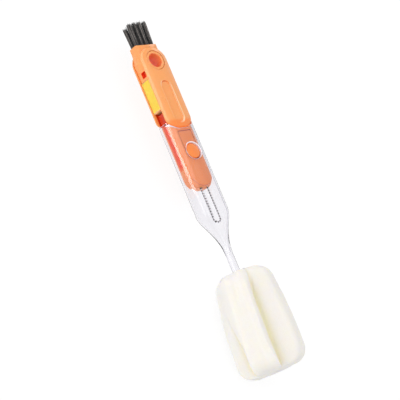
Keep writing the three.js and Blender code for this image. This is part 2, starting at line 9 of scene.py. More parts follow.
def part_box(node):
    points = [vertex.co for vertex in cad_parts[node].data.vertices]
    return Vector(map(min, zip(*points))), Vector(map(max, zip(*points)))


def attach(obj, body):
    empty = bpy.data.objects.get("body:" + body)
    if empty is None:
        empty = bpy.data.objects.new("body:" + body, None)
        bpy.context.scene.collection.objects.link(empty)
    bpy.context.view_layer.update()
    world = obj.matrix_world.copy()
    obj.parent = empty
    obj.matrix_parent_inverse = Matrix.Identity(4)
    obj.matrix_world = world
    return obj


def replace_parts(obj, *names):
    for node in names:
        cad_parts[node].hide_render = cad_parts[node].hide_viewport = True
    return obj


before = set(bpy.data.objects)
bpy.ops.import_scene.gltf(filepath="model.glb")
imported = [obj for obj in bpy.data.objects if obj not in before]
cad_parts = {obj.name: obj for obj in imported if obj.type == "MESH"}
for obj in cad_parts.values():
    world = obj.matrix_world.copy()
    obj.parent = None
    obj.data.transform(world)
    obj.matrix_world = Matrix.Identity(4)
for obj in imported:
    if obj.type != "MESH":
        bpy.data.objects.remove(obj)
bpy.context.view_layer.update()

# One millimetre of the drawing, in metres
MM = 0.001

# The pivot's middle is where lengths along the brush are counted from
pivot_low, pivot_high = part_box("pivot_eyelet")
PIVOT_X = (pivot_low.x + pivot_high.x) / 2
AXIS_Z = (pivot_low.z + pivot_high.z) / 2

# The camera as fitted to the photograph: turns in radians, distance and frame in millimetres
VIEW_TURN = 0.760835
VIEW_TILT = 0.234282
VIEW_ROLL = 0.396081
VIEW_DISTANCE = 1084.4
VIEW_FRAME = 281.44
VIEW_SHIFT = (-0.00566, -0.02584)
VIEW_AIM = 100

# Places on the drawn parts that their materials follow: along the brush, across it or out from its middle
OPEN_END = 46
COVERED_START = 49
RIM_END = 56
PANEL_MIDDLE = 33.1
PANEL_STRAIGHT = 12.3
PANEL_HALF = 4.2
PANEL_LEVEL = 6.2
SLOT_START = 56.2
SLOT_HALF = 6
SLOT_LEVEL = 4.6
PARTING_MIDDLE = 90
PARTING_RADIUS = 8.9
PARTING_LEVEL = 2.6
BUTTON_AT = 72.7
HOLE_RADIUS = 6.5
BORE_RADIUS = 5.75
WEB_START = 20
WEB_END = 48.7
WEB_HALF = 4.9
CHANNEL_END = 82
CHANNEL_HALF = 2.35
HOLLOW_FLOOR = 4
HOLLOW_EDGE = 9.6
NICK_LOW = (5.8, -11.2, -0.8)
NICK_HIGH = (10.6, -8, 4.6)
SHADE_END = -22
SHADE_FULL = -14

# How strongly the broad faces of the scales are crowned, and the angle at which faces part into edges
DOME = 12
EDGE_ANGLE = math.radians(32)
SLEEVE_EDGE_ANGLE = math.radians(40)

# The foam: the drawing's cross of four arms, with a rounder far end
FOAM_TOP_RADIUS = 21
FOAM_END_RADIUS = 25.5
FOAM_TOP_ROUND = 10
FOAM_END_ROUND = 10
ARM_TURN = math.radians(58)
ARM_HALF = 9.3
ARM_CORNER = 3.2
ARM_CROWN = 0.8
ARM_NARROW = 0.3
ARM_SWELL = 0.8
ARM_SHY = (0, 1.8, 0, 0.6)
BACK_SHY = 3
GROOVE_ROUND = 2.2
END_DIP = 4.5
END_BULGE = 0.8
STEM_RADIUS = 2.8
STEM_END = 219
STEM_ROOM = 0.2
BARB_RADIUS = 4
BARB_ROOM = 0.4
BORE_PAST = 1.5
MOUTH_SINK = 1.2

# The foam's arms in order, and the sides of arms that meet in the two grooves at the front
FRONT_ARM, LEFT_ARM, BACK_ARM, RIGHT_ARM = range(4)
RIGHT_GROOVE = ((FRONT_ARM, -1), (RIGHT_ARM, 1))
LEFT_GROOVE = ((FRONT_ARM, 1), (LEFT_ARM, -1))
RIGHT_GROOVE_TOP = 0.25
RIGHT_GROOVE_GAIN = 0.45
LEFT_GROOVE_GAIN = 0.75
FRONT_HALF = 7.8
FRONT_FLARE = 2.2
FRONT_ROOT = 4.6
FRONT_CORNER = 1.2
FRONT_TOP_SOFT = 3.5
RIGHT_CORNER = 6.0
LEFT_CORNER = 7.5
LEFT_SHARPER = 5

# The bristles: the drawing's tufts, with finer strands and ragged tips
TUFT_COLUMNS = 4
TUFT_PITCH = 4.6
ROW_OFFSET = 2.2
TUFT_RADIUS = 1.6
BLOCK_TOP = 14.5
BRISTLE_LENGTH = 19
BRISTLE_RAGGED = 2.2
SPLAY_ACROSS = 0.4
SPLAY_DEEP = 0.5
SEAT_HALF_WIDTH = 8.6
SEAT_HALF_DEPTH = 3.6
SEAT_FLOOR = 13.3
ROOT_END = 11.2
PAD_GAP = 0.15
PAD_SINK = 0.2
SIDE_SHORT = 1.5
REAR_SHORT = 0.8
STRAY_SHARE = 0.08
STRAY_LENGTH = (0.3, 1.6)
SCATTER = 0.1

# The twisted wire: the drawing's hairpin, with a thinner wire and a longer twist
WIRE_RADIUS = 0.28
WIRE_LEVEL = 2.2
WIRE_ROOT = 91.6
WIRE_TIP = 126.8
LEG_OFFSET = 2.8
WIRE_LAY = 4.0
HOOK_LENGTH = 2.4
HOOK_TURN = 0.8
WIRE_SIDES = 8
WIRE_FILL = 0.98


def at(along, across=0.0, out=0.0):
    """A point of the drawing in the shared frame."""
    return Vector((PIVOT_X + along * MM, across * MM, AXIS_Z + out * MM))


def colour(red, green, blue):
    """A display colour, 0 to 255, as linear light."""
    parts = []
    for part in (red, green, blue):
        share = part / 255
        parts.append(share / 12.92 if share <= 0.04045 else ((share + 0.055) / 1.055) ** 2.4)
    return (*parts, 1.0)


def smooth_step(low, high, value):
    share = min(max((value - low) / (high - low), 0.0), 1.0)
    return share * share * (3 - 2 * share)


# Node helpers
def add(tree, kind, inputs=None, **settings):
    """A node with its settings, and its inputs set or linked by name or number."""
    made = tree.nodes.new(kind)
    for name, value in settings.items():
        setattr(made, name, value)
    for name, value in (inputs or {}).items():
        if isinstance(value, bpy.types.NodeSocket):
            tree.links.new(value, made.inputs[name])
        else:
            made.inputs[name].default_value = value
    return made


def math_node(tree, operation, first, second=0.0):
    return add(tree, "ShaderNodeMath", {0: first, 1: second}, operation=operation).outputs[0]


def times(tree, first, second):
    return math_node(tree, "MULTIPLY", first, second)


def plus(tree, first, second):
    return math_node(tree, "ADD", first, second)


def minus(tree, first, second):
    return math_node(tree, "SUBTRACT", first, second)


def larger(tree, first, second):
    return math_node(tree, "MAXIMUM", first, second)


def spread(tree, value, low, high, to_low, to_high):
    """A value carried smoothly from one range to another."""
    inputs = {"Value": value, "From Min": low, "From Max": high, "To Min": to_low, "To Max": to_high}
    return add(tree, "ShaderNodeMapRange", inputs, interpolation_type="SMOOTHSTEP").outputs["Result"]


def blend_colours(tree, factor, first, second):
    inputs = {"Factor": factor, 6: first, 7: second}
    return add(tree, "ShaderNodeMix", inputs, data_type="RGBA").outputs[2]


def noise_node(tree, place, scale, detail=3.0, rough=0.5):
    inputs = {"Vector": place, "Scale": scale, "Detail": detail, "Roughness": rough}
    return add(tree, "ShaderNodeTexNoise", inputs).outputs["Fac"]


def new_material(name):
    made = bpy.data.materials.new(name)
    made.use_nodes = True
    tree = made.node_tree
    shader = tree.nodes["Principled BSDF"]
    place = add(tree, "ShaderNodeTexCoord").outputs["Object"]
    return made, tree, shader, place


def bump(tree, shader, height, strength, distance, under=None):
    """Fine relief on a shader, over a broader relief where one is given."""
    inputs = {"Height": height, "Strength": strength, "Distance": distance}
    if under:
        inputs["Normal"] = under
    made = add(tree, "ShaderNodeBump", inputs)
    tree.links.new(made.outputs["Normal"], shader.inputs["Normal"])


def soften(shader, weight, reach, scale):
    """Lets light in under a surface, so that it comes out beside the place where it went in."""
    shader.inputs["Subsurface Weight"].default_value = weight
    shader.inputs["Subsurface Radius"].default_value = reach
    shader.inputs["Subsurface Scale"].default_value = scale


def split_place(tree, place):
    axes = add(tree, "ShaderNodeSeparateXYZ", {"Vector": place})
    return axes.outputs["X"], axes.outputs["Y"], axes.outputs["Z"]


def flat_distance(tree, first, second):
    """The length of a step in two directions."""
    square = plus(tree, times(tree, first, first), times(tree, second, second))
    return math_node(tree, "SQRT", square)


def beyond(tree, x, along):
    """1 from a place on the brush towards the foam, 0 before it."""
    return spread(tree, x, at(along - 0.1).x, at(along + 0.1).x, 0.0, 1.0)


def above(tree, z, level, soft):
    """1 from a level in front of the brush's middle outwards, 0 behind it."""
    return spread(tree, z, AXIS_Z + level * MM, AXIS_Z + (level + soft) * MM, 0.0, 1.0)


def dome(tree, place):
    """The faint crown across the broad faces of the scales, as a normal."""
    y = split_place(tree, place)[1]
    height = times(tree, times(tree, y, y), -DOME)
    made = add(tree, "ShaderNodeBump", {"Height": height, "Strength": 1.0, "Distance": 1.0})
    return made.outputs["Normal"]


def edge_mask(tree, radius):
    """Near 1 along the edges of a piece, 0 on its faces."""
    rounded = add(tree, "ShaderNodeBevel", {"Radius": radius}, samples=6).outputs["Normal"]
    plain = add(tree, "ShaderNodeNewGeometry").outputs["Normal"]
    facing = add(tree, "ShaderNodeVectorMath", {0: rounded, 1: plain}, operation="DOT_PRODUCT")
    return spread(tree, facing.outputs["Value"], 0.8, 0.99, 1.0, 0.0)


def between(tree, value, low, high, soft):
    """Near 1 where a value lies between two limits."""
    rise = spread(tree, value, low - soft, low + soft, 0.0, 1.0)
    fall = spread(tree, value, high - soft, high + soft, 1.0, 0.0)
    return times(tree, rise, fall)


# Materials
def orange_plastic(name, shade_mask=None, shade_tone=None, open_air=True):
    """Satin plastic. A mask, when given, paints shade into its hollows in the tone given with it;
    open_air is False for pieces that go into the sleeve.
    """
    made, tree, shader, place = new_material(name)
    cloud = noise_node(tree, place, 45, 2)
    base = blend_colours(tree, cloud, colour(254, 171, 100), colour(252, 160, 86))
    speck = noise_node(tree, place, 700, 4)
    fleck = spread(tree, speck, 0.55, 0.8, 0.0, 0.25)
    base = blend_colours(tree, fleck, base, colour(255, 184, 118))
    # Painted shade: past the sleeve's start the orange turns deeper and darker, making up for the whitish
    # veil of the sleeve's reflections over it
    if not open_air:
        x = split_place(tree, place)[0]
        outside = spread(tree, x, at(OPEN_END).x, at(COVERED_START).x, 1.0, 0.0)
        base = blend_colours(tree, outside, colour(255, 141, 62), base)
    # Painted shade: creases and narrow gaps, found by ambient occlusion, turn a darker, redder orange;
    # none on the covered part of pieces in the sleeve
    crease = add(tree, "ShaderNodeAmbientOcclusion", {"Distance": 1.4 * MM}, samples=8)
    crease_shade = spread(tree, crease.outputs["AO"], 0.35, 0.9, 0.3, 0.0)
    if not open_air:
        crease_shade = times(tree, crease_shade, outside)
    base = blend_colours(tree, crease_shade, base, colour(236, 118, 50))
    # Painted highlight: the edges are lightened as if they caught the light
    painted_edge_highlight = times(tree, edge_mask(tree, 0.5 * MM), 0.5)
    base = blend_colours(tree, painted_edge_highlight, base, colour(255, 200, 142))
    # Painted shade: the hollows that the mask marks take the darker, redder tone
    if shade_mask:
        base = blend_colours(tree, shade_mask(tree, place), base, shade_tone)
    if not open_air:
        # Painted shade in the web between the scales and along the tongue's slot and the parting line; on
        # the panel, painted shade on the walls' shaded side and a painted highlight on the lit side
        base = blend_colours(tree, web_recess(tree, place), base, colour(212, 50, 0))
        base = blend_colours(tree, insert_gap_shade(tree, place), base, colour(214, 92, 54))
        panel_shade, brim = panel_lines(tree, place)
        base = blend_colours(tree, panel_shade, base, colour(226, 112, 52))
        base = blend_colours(tree, brim, base, colour(255, 226, 184))
    tree.links.new(base, shader.inputs["Base Color"])
    smear = noise_node(tree, place, 120, 5, 0.6)
    tree.links.new(spread(tree, smear, 0.3, 0.7, 0.17, 0.28), shader.inputs["Roughness"])
    bump(tree, shader, noise_node(tree, place, 2600, 2), 0.06, 0.05 * MM, dome(tree, place))
    soften(shader, 0.12, (1.0, 0.35, 0.12), 1.2 * MM)
    return made


def insert_gap_shade(tree, place):
    """Painted shade along the slot round the snap tongue and along the parting line near the end of the
    insert.
    """
    x, y, z = split_place(tree, place)
    past_button = larger(tree, minus(tree, x, at(BUTTON_AT).x), 0.0)
    slot = flat_distance(tree, past_button, y)
    slot = math_node(tree, "ABSOLUTE", minus(tree, slot, SLOT_HALF * MM))
    slot = minus(tree, slot, spread(tree, past_button, 0.0, 4 * MM, 0.0, 0.35 * MM))
    slot = spread(tree, slot, 0.18 * MM, 0.42 * MM, 0.85, 0.0)
    slot = times(tree, slot, beyond(tree, x, SLOT_START))
    start = math_node(tree, "ABSOLUTE", minus(tree, x, at(SLOT_START).x))
    start = spread(tree, start, 0.3 * MM, 0.6 * MM, 0.9, 0.0)
    start = times(tree, start, between(tree, y, -SLOT_HALF * MM, SLOT_HALF * MM, 0.1 * MM))
    arc = flat_distance(tree, minus(tree, x, at(PARTING_MIDDLE).x), y)
    arc = math_node(tree, "ABSOLUTE", minus(tree, arc, PARTING_RADIUS * MM))
    arc = spread(tree, arc, 0.12 * MM, 0.35 * MM, 0.8, 0.0)
    arc = times(tree, arc, beyond(tree, x, PARTING_MIDDLE + 2))
    lines = larger(tree, slot, start)
    lines = times(tree, lines, above(tree, z, SLOT_LEVEL, 0.3))
    arc = times(tree, arc, above(tree, z, PARTING_LEVEL, 0.2))
    return larger(tree, lines, arc)


def panel_lines(tree, place):
    """Painted shade on the walls of the front scale's sunken panel on their shaded side, and a painted
    highlight on the walls and brim on the lit side and at the ends.
    """
    x, y, z = split_place(tree, place)
    along = minus(tree, x, at(PANEL_MIDDLE).x)
    past = minus(tree, math_node(tree, "ABSOLUTE", along), PANEL_STRAIGHT * MM)
    past = larger(tree, past, 0.0)
    edge = minus(tree, flat_distance(tree, past, y), PANEL_HALF * MM)
    ahead = times(tree, math_node(tree, "SIGN", along), past)
    slope = plus(tree, times(tree, y, 0.85), times(tree, ahead, 0.53))
    slope = math_node(tree, "DIVIDE", slope, PANEL_HALF * MM)
    front = above(tree, z, PANEL_LEVEL, 0.3)
    wall = times(tree, between(tree, edge, -0.6 * MM, 0.1 * MM, 0.2 * MM), front)
    brim = times(tree, between(tree, edge, -0.5 * MM, 0.8 * MM, 0.25 * MM), front)
    shaded = times(tree, wall, spread(tree, slope, -0.6, 0.3, 0.75, 0.0))
    lit = spread(tree, slope, 0.2, 0.8, 0.0, 0.4)
    glint = spread(tree, slope, 0.86, 1.0, 0.0, 0.5)
    far_glint = spread(tree, slope, -1.0, -0.93, 0.45, 0.0)
    lit = plus(tree, plus(tree, lit, glint), far_glint)
    return shaded, times(tree, brim, lit)


def side_hollow(tree, place, start, end, half, soft):
    """Where shade is painted in the hollow between the two shells along each side, from one place on the
    brush to another.
    """
    x, y, z = split_place(tree, place)
    aside = math_node(tree, "ABSOLUTE", y)
    level = math_node(tree, "ABSOLUTE", minus(tree, z, AXIS_Z))
    deep = between(tree, aside, HOLLOW_FLOOR * MM, HOLLOW_EDGE * MM, 0.4 * MM)
    hollow = times(tree, between(tree, level, -MM, half * MM, 0.1 * MM), deep)
    return times(tree, hollow, between(tree, x, at(start).x, at(end).x, soft * MM))


def web_recess(tree, place):
    """Painted shade on the web between the scales."""
    return side_hollow(tree, place, WEB_START, WEB_END, WEB_HALF, 0.3)


def channel_recess(tree, place):
    """Painted shade in the channel down each side of the insert."""
    return side_hollow(tree, place, WEB_END, CHANNEL_END, CHANNEL_HALF, 2.2)


def bore_recess(tree, place):
    """Painted shade inside the hollow pivot, strongest towards the back."""
    x, y, z = split_place(tree, place)
    reach = flat_distance(tree, minus(tree, x, PIVOT_X), y)
    deep = spread(tree, z, AXIS_Z - 2 * MM, AXIS_Z + 7 * MM, 1.0, 0.35)
    return times(tree, between(tree, reach, 0.0, BORE_RADIUS * MM, 0.1 * MM), deep)


def nick_recess(tree, place):
    """Painted shade in the small pocket beside the hub."""
    x, y, z = split_place(tree, place)
    low = at(*NICK_LOW)
    high = at(*NICK_HIGH)
    inside = between(tree, x, low.x, high.x, 0.1 * MM)
    inside = times(tree, inside, between(tree, y, low.y, high.y, 0.1 * MM))
    return times(tree, inside, between(tree, z, low.z, high.z, 0.05 * MM))


def clear_plastic():
    """Clear moulded plastic with a faint lilac tint; lamp light passes straight through it."""
    made, tree, shader, place = new_material("clear_plastic_look")
    shader.inputs["Base Color"].default_value = colour(253, 253, 254)
    shader.inputs["Transmission Weight"].default_value = 1.0
    shader.inputs["IOR"].default_value = 1.49
    smear = noise_node(tree, place, 40, 2)
    tree.links.new(spread(tree, smear, 0.35, 0.75, 0.068, 0.085), shader.inputs["Roughness"])
    bump(tree, shader, noise_node(tree, place, 160, 2), 0.03, 0.05 * MM)
    film = add(tree, "ShaderNodeBsdfTransparent", {"Color": colour(251, 250, 252)})
    rays = add(tree, "ShaderNodeLightPath")
    passes = larger(tree, rays.outputs["Is Shadow Ray"], rays.outputs["Is Diffuse Ray"])
    both = add(tree, "ShaderNodeMixShader", {0: passes, 1: shader.outputs[0], 2: film.outputs[0]})
    tint = add(tree, "ShaderNodeVolumeAbsorption", {"Color": colour(208, 203, 218), "Density": 58.0})
    output = tree.nodes["Material Output"]
    tree.links.new(both.outputs[0], output.inputs["Surface"])
    tree.links.new(tint.outputs[0], output.inputs["Volume"])
    return made


def matt_white_highlight():
    """A matt white for the rim of the sleeve and of the button hole: a painted highlight in place of
    their bright reflections.
    """
    made, tree, shader, place = new_material("white_highlight_look")
    cloud = noise_node(tree, place, 300, 3)
    base = blend_colours(tree, cloud, colour(255, 253, 255), colour(246, 242, 253))
    tree.links.new(base, shader.inputs["Base Color"])
    tree.links.new(spread(tree, cloud, 0.3, 0.7, 0.25, 0.45), shader.inputs["Roughness"])
    bump(tree, shader, noise_node(tree, place, 1800, 2), 0.1, 0.05 * MM)
    return made


def soft_silicone():
    made, tree, shader, place = new_material("silicone_look")
    cloud = noise_node(tree, place, 80, 3)
    base = blend_colours(tree, cloud, colour(255, 221, 84), colour(255, 210, 68))
    # Painted highlight: the edges are lightened as if they caught the light
    painted_edge_highlight = times(tree, edge_mask(tree, 0.6 * MM), 0.5)
    base = blend_colours(tree, painted_edge_highlight, base, colour(255, 236, 150))
    # Painted highlight: the last millimetre or so at the scraper's lower end is paler
    x = split_place(tree, place)[0]
    scraper_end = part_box("silicone_scraper")[1].x
    end_highlight = spread(tree, x, scraper_end - 1.2 * MM, scraper_end - 0.9 * MM, 0.0, 1.0)
    base = blend_colours(tree, end_highlight, base, colour(255, 200, 140))
    tree.links.new(base, shader.inputs["Base Color"])
    dust = noise_node(tree, place, 900, 4, 0.6)
    tree.links.new(spread(tree, dust, 0.3, 0.7, 0.42, 0.58), shader.inputs["Roughness"])
    bump(tree, shader, dust, 0.1, 0.06 * MM)
    soften(shader, 0.6, (1.0, 0.8, 0.35), 2.5 * MM)
    return made


def foam_look():
    """Open-cell cream foam, with painted shade turning it yellower down in the grooves between the lobes.
    """
    made, tree, shader, place = new_material("foam_look")
    cloud = noise_node(tree, place, 55, 4)
    base = blend_colours(tree, cloud, colour(243, 240, 236), colour(241, 237, 231))
    # Painted shade: deeper down a groove the cream turns yellower
    groove = add(tree, "ShaderNodeAttribute", attribute_name="groove").outputs["Fac"]
    base = blend_colours(tree, groove, base, colour(255, 244, 188))
    cells = add(tree, "ShaderNodeTexVoronoi", {"Vector": place, "Scale": 1500.0}).outputs["Distance"]
    pore = spread(tree, cells, 0.12, 0.4, 1.0, 0.0)
    big = add(tree, "ShaderNodeTexVoronoi", {"Vector": place, "Scale": 620.0}).outputs["Distance"]
    hole = spread(tree, big, 0.06, 0.26, 1.0, 0.0)
    dark = larger(tree, times(tree, pore, 0.16), times(tree, hole, 0.2))
    base = blend_colours(tree, dark, base, colour(226, 212, 178))
    tree.links.new(base, shader.inputs["Base Color"])
    grain = noise_node(tree, place, 1100, 3)
    tree.links.new(spread(tree, grain, 0.3, 0.7, 0.85, 1.0), shader.inputs["Roughness"])
    height = minus(tree, grain, plus(tree, pore, hole))
    bump(tree, shader, height, 0.35, 0.14 * MM)
    shader.inputs["Specular IOR Level"].default_value = 0.15
    soften(shader, 0.85, (1.0, 0.9, 0.6), 6 * MM)
    return made


def bristle_look():
    """Dark nylon, a shade for every strand, with painted shade darkening it towards the roots."""
    made, tree, shader, place = new_material("bristle_look")
    strand = add(tree, "ShaderNodeAttribute", attribute_name="strand").outputs["Fac"]
    base = blend_colours(tree, strand, colour(8, 8, 10), colour(186, 176, 170))
    along = noise_node(tree, place, 420, 3)
    base = blend_colours(tree, spread(tree, along, 0.5, 0.8, 0.0, 0.12), base, colour(140, 134, 131))
    # Painted shade: darker towards the roots, in the block
    root = spread(tree, split_place(tree, place)[0], at(SHADE_END).x, at(SHADE_FULL).x, 0.0, 0.75)
    base = blend_colours(tree, root, base, colour(16, 15, 18))
    tree.links.new(base, shader.inputs["Base Color"])
    tree.links.new(spread(tree, along, 0.3, 0.7, 0.36, 0.55), shader.inputs["Roughness"])
    bump(tree, shader, noise_node(tree, place, 3000, 2), 0.15, 0.02 * MM)
    return made


def dark_steel():
    """Dark wire, with a painted highlight on the strand that lies on top."""
    made, tree, shader, place = new_material("steel_look")
    stain = noise_node(tree, place, 500, 4)
    base = blend_colours(tree, stain, colour(38, 36, 38), colour(70, 66, 70))
    # Painted highlight: where one strand lies over the other it turns near white
    crown = add(tree, "ShaderNodeAttribute", attribute_name="crown").outputs["Fac"]
    base = blend_colours(tree, spread(tree, crown, 0.45, 0.9, 0.0, 0.95), base, colour(230, 226, 230))
    tree.links.new(base, shader.inputs["Base Color"])
    shader.inputs["Metallic"].default_value = 1.0
    tree.links.new(spread(tree, stain, 0.3, 0.7, 0.25, 0.42), shader.inputs["Roughness"])
    bump(tree, shader, noise_node(tree, place, 4000, 2), 0.1, 0.02 * MM)
    return made


ORANGE = orange_plastic("orange_look")
# Painted shade: the shells' channel, the pivot's bore and the head's pocket take these darker, redder
# tones
ORANGE_SHELL = orange_plastic("orange_shell_look", channel_recess, colour(255, 80, 4), False)
ORANGE_TONGUE = orange_plastic("orange_tongue_look", None, None, False)
ORANGE_PIVOT = orange_plastic("orange_pivot_look", bore_recess, colour(255, 126, 88))
ORANGE_HEAD = orange_plastic("orange_head_look", nick_recess, colour(244, 72, 34))
CLEAR = clear_plastic()
WHITE_HIGHLIGHT = matt_white_highlight()
SILICONE = soft_silicone()
FOAM = foam_look()
NYLON = bristle_look()
STEEL = dark_steel()


# The drawn parts that stay: smooth faces, split at their edges, and their materials
def dress(node, material, split=EDGE_ANGLE):
    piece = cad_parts[node]
    mesh = piece.data
    if "custom_normal" in mesh.attributes:
        mesh.attributes.remove(mesh.attributes["custom_normal"])
    mesh.polygons.foreach_set("use_smooth", [True] * len(mesh.polygons))
    weld = piece.modifiers.new("weld", "WELD")
    weld.merge_threshold = 0.002 * MM
    edges = piece.modifiers.new("edges", "EDGE_SPLIT")
    edges.split_angle = split
    edges.use_edge_sharp = False
    mesh.materials.clear()
    mesh.materials.append(material)


def whiten_rims():
    """Gives the rim of the sleeve and most of the button hole's wall their own matt white material, a
    painted highlight.
    """
    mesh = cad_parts["clear_handle"].data
    mesh.materials.append(WHITE_HIGHLIGHT)
    for face in mesh.polygons:
        along = (face.center.x - PIVOT_X) / MM
        reach = math.hypot(along - BUTTON_AT, face.center.y / MM)
        rim = along < RIM_END and face.normal.x < -0.5
        hole = abs(reach - HOLE_RADIUS) < 0.2 and abs(face.normal.z) < 0.2 and face.normal.y < 0.3
        if rim or hole:
            face.material_index = 1


dress("clear_handle", CLEAR, SLEEVE_EDGE_ANGLE)
whiten_rims()
dress("front_shell", ORANGE_SHELL)
dress("rear_shell", ORANGE_SHELL)
dress("latch_tongue", ORANGE_TONGUE)
dress("pivot_eyelet", ORANGE_PIVOT)
dress("eyelet_ring", ORANGE)
dress("swing_head", ORANGE_HEAD)
dress("silicone_scraper", SILICONE)
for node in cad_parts:
    if node.startswith("tuft_anchor"):
        dress(node, STEEL)


# New pieces
def new_piece(name, points, faces, material, body, values=None, ruffle=None):
    """A mesh piece that rides a body; values are numbers for its points, ruffle moves them outwards."""
    mesh = bpy.data.meshes.new(name)
    mesh.from_pydata(points, [], faces)
    for label, numbers in (values or {}).items():
        mesh.attributes.new(label, "FLOAT", "POINT").data.foreach_set("value", numbers)
    shape = bmesh.new()
    shape.from_mesh(mesh)
    bmesh.ops.recalc_face_normals(shape, faces=shape.faces)
    if ruffle:
        shape.normal_update()
        for point in shape.verts:
            point.co += point.normal * ruffle(point.co)
    shape.to_mesh(mesh)
    shape.free()
    mesh.polygons.foreach_set("use_smooth", [True] * len(mesh.polygons))
    mesh.materials.append(material)
    piece = bpy.data.objects.new(name, mesh)
    bpy.context.scene.collection.objects.link(piece)
    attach(piece, body)
    return piece


def ring_faces(first, second, count):
    """The four-sided faces between two rings of points."""
    faces = []
    for i in range(count):
        j = (i + 1) % count
        faces.append((first + i, first + j, second + j, second + i))
    return faces


# The foam: four soft arms with grooves between them, closed round the stem at its top
foam_low, foam_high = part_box("foam_head")
FOAM_LENGTH = (foam_high.x - foam_low.x) / MM
FOAM_START = (foam_low.x - PIVOT_X) / MM
FOAM_FLOOR = (foam_low.z - AXIS_Z) / MM
LEAN_TOP = 1.2
LEAN_END = -1.5
LEAN_WAY = Vector((0, math.cos(VIEW_TURN), math.sin(VIEW_TURN)))
FILLET_STEPS = 8
WALL_STEPS = 13
CORNER_STEPS = 9
CROWN_STEPS = 10
ARM_POINTS = 2 * (FILLET_STEPS + WALL_STEPS + CORNER_STEPS + CROWN_STEPS)
FOAM_POINTS = 4 * ARM_POINTS
MOUTH_RINGS = 9
ROUND_RINGS = 14
STRAIGHT_RINGS = 66
END_RINGS = 14
BARB_START = 8.0
NECK_END = 5.0
NECK_START = 1.4


def foam_full(run):
    """The foam's radius at a place along it, before its ends are rounded."""
    share = min(run / (0.75 * FOAM_LENGTH), 1)
    return FOAM_TOP_RADIUS + (FOAM_END_RADIUS - FOAM_TOP_RADIUS) * math.sin(share * math.pi / 2)


def foam_radius(run):
    """The foam's radius at a place along it, with both ends rounded."""
    from_top = max(FOAM_TOP_ROUND - run, 0)
    from_end = max(FOAM_END_ROUND - (FOAM_LENGTH - run), 0)
    drop_top = FOAM_TOP_ROUND - math.sqrt(max(FOAM_TOP_ROUND ** 2 - from_top ** 2, 0))
    drop_end = FOAM_END_ROUND - math.sqrt(max(FOAM_END_ROUND ** 2 - from_end ** 2, 0))
    return foam_full(run) - drop_top - drop_end


def curve(start, bend, end, steps):
    """Points along a soft bend, without the last one."""
    points = []
    for i in range(steps):
        t = i / steps
        points.append(start * (1 - t) ** 2 + bend * 2 * t * (1 - t) + end * t * t)
    return points


def arm_side(arm, side, run):
    """Half width at the tip and at the root, corner size and groove depth on one side of an arm."""
    place = run / FOAM_LENGTH
    half_tip, half_root, corner, groove = ARM_HALF, ARM_HALF, ARM_CORNER, 1.0
    if (arm, side) == (FRONT_ARM, -1):
        half_tip = FRONT_HALF + FRONT_FLARE * smooth_step(0.7, 1.0, place)
        half_root = FRONT_ROOT
        corner = FRONT_CORNER + FRONT_TOP_SOFT * smooth_step(0.2, 0.04, place)
    if (arm, side) == (RIGHT_ARM, 1):
        corner = RIGHT_CORNER
    if (arm, side) in RIGHT_GROOVE:
        groove = RIGHT_GROOVE_TOP + RIGHT_GROOVE_GAIN * smooth_step(0.02, 0.3, place)
    if (arm, side) in LEFT_GROOVE:
        corner = LEFT_CORNER - LEFT_SHARPER * smooth_step(0.2, 0.8, place)
        groove = LEFT_GROOVE_GAIN * smooth_step(0.25, 0.9, place)
    return half_tip, half_root, corner, groove


def arm_shy(arm, run):
    """How far an arm stays short of the full radius; the arm at the back draws in at the far end."""
    shy = ARM_SHY[arm]
    if arm == BACK_ARM:
        shy += BACK_SHY * smooth_step(0.8, 1.0, run / FOAM_LENGTH)
    return shy


def half_arm(arm, side, run, radius, share):
    """From a groove's bottom to the middle of an arm's end: points across the arm, and groove depths."""
    half_tip, half_root, corner, groove = arm_side(arm, side, run)
    next_arm = (arm + side) % 4
    next_root = arm_side(next_arm, -side, run)[1]
    width = 1 - ARM_NARROW * (1 - share)
    half_tip, half_root, next_root = half_tip * width, half_root * width, next_root * width
    corner = corner * share
    tip = radius - ARM_CROWN * share - arm_shy(arm, run)
    fillet = min(GROOVE_ROUND * share, 0.4 * (tip - corner - next_root))
    bottom = Vector((next_root, half_root))
    lean = (half_tip - half_root) / (tip - corner - next_root)
    wall_start = bottom + Vector((fillet, fillet * lean))
    wall_end = Vector((tip - corner, half_tip))
    middle = bottom + Vector((fillet, fillet * lean)) * 0.25 + Vector((0, fillet)) * 0.25
    outline = curve(middle, (bottom + wall_start) / 2, wall_start, FILLET_STEPS)
    for i in range(WALL_STEPS):
        swell = ARM_SWELL * share * math.sin(math.pi * i / WALL_STEPS)
        outline.append(wall_start.lerp(wall_end, i / WALL_STEPS) + Vector((0, swell)))
    flat = half_tip - corner
    outline += curve(wall_end, Vector((tip, half_tip)), Vector((tip, flat)), CORNER_STEPS)
    crown_start = len(outline)
    for i in range(CROWN_STEPS):
        place = 1 - i / CROWN_STEPS
        outline.append(Vector((tip + ARM_CROWN * share * (1 - place * place), flat * place)))
    level = tip - 0.3 * corner + half_tip
    lowest = sum(bottom)
    shaped = []
    for i, spot in enumerate(outline):
        sunk = max(level - sum(spot), 0)
        depth = (sunk / (level - lowest)) ** 4 * groove if i < crown_start else 0.0
        off_middle = smooth_step(0.1 * half_root, 0.9 * half_root, spot.y)
        lift = sunk * (1 - groove) / 2 * off_middle
        shaped.append((spot + Vector((lift, lift)), depth))
    return shaped


def foam_ring(run, radius, share):
    """One ring of the foam's points, with how deep in a groove each lies."""
    ring = []
    for arm in range(4):
        turn = ARM_TURN + arm * math.pi / 2
        along_way = Vector((0, -math.sin(turn), math.cos(turn)))
        across_way = Vector((0, -math.cos(turn), -math.sin(turn)))
        before = half_arm(arm, -1, run, radius, share)
        after = half_arm(arm, 1, run, radius, share)
        for spot, depth in before:
            ring.append((along_way * spot.x - across_way * spot.y, depth))
        ring.append((along_way * (radius - arm_shy(arm, run)), 0.0))
        for spot, depth in reversed(after[1:]):
            ring.append((along_way * spot.x + across_way * spot.y, depth))
    return ring


